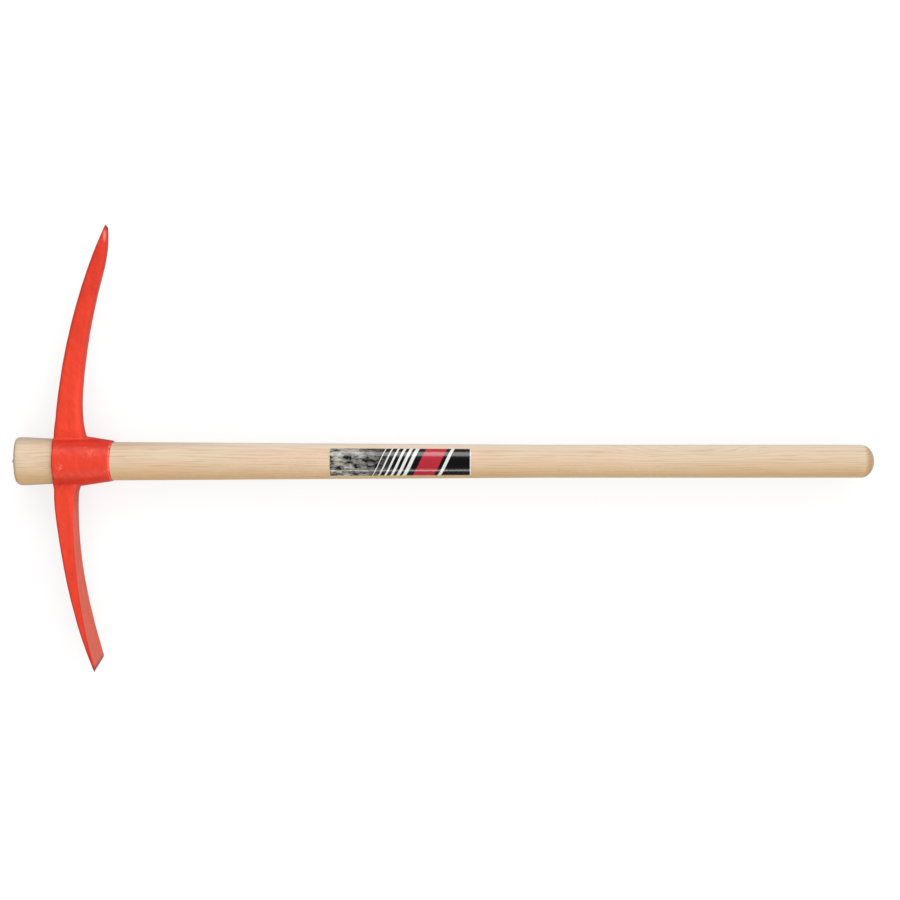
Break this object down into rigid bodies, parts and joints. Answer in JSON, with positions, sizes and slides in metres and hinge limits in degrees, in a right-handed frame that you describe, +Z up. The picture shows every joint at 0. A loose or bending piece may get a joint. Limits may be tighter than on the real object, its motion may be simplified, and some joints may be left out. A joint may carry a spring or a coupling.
{
  "type": "pick axe",
  "caption": "Pick axe: a forged steel head with a pick point and a narrow chisel end, its tapered eye slipped onto the flared end of a long round wooden handle, for breaking hard ground.",
  "frame": {"origin": "on the handle's axis, in the middle of the eye between the roots of the arms, where a rack's prongs hold the tool", "axes": "+X along the handle towards the grip, +Y towards the pick point, +Z up from the ground that the tool lies on"},
  "size_m": [0.951, 0.4907, 0.0584],
  "materials": {
    "red_enamel": "glossy red enamel over forged steel",
    "ash_wood": "sanded and clear waxed ash",
    "vinyl_label": "glossy dark vinyl"
  },
  "bodies": {
    "handle": {"handle": "ash_wood", "label": "vinyl_label"},
    "head": {"pick_head": "red_enamel"}
  },
  "joints": [
    {"name": "head_slide", "type": "slide", "parent": "handle", "child": "head", "axis": [1, 0, 0], "range_m": [0, 0.92]}
  ]
}
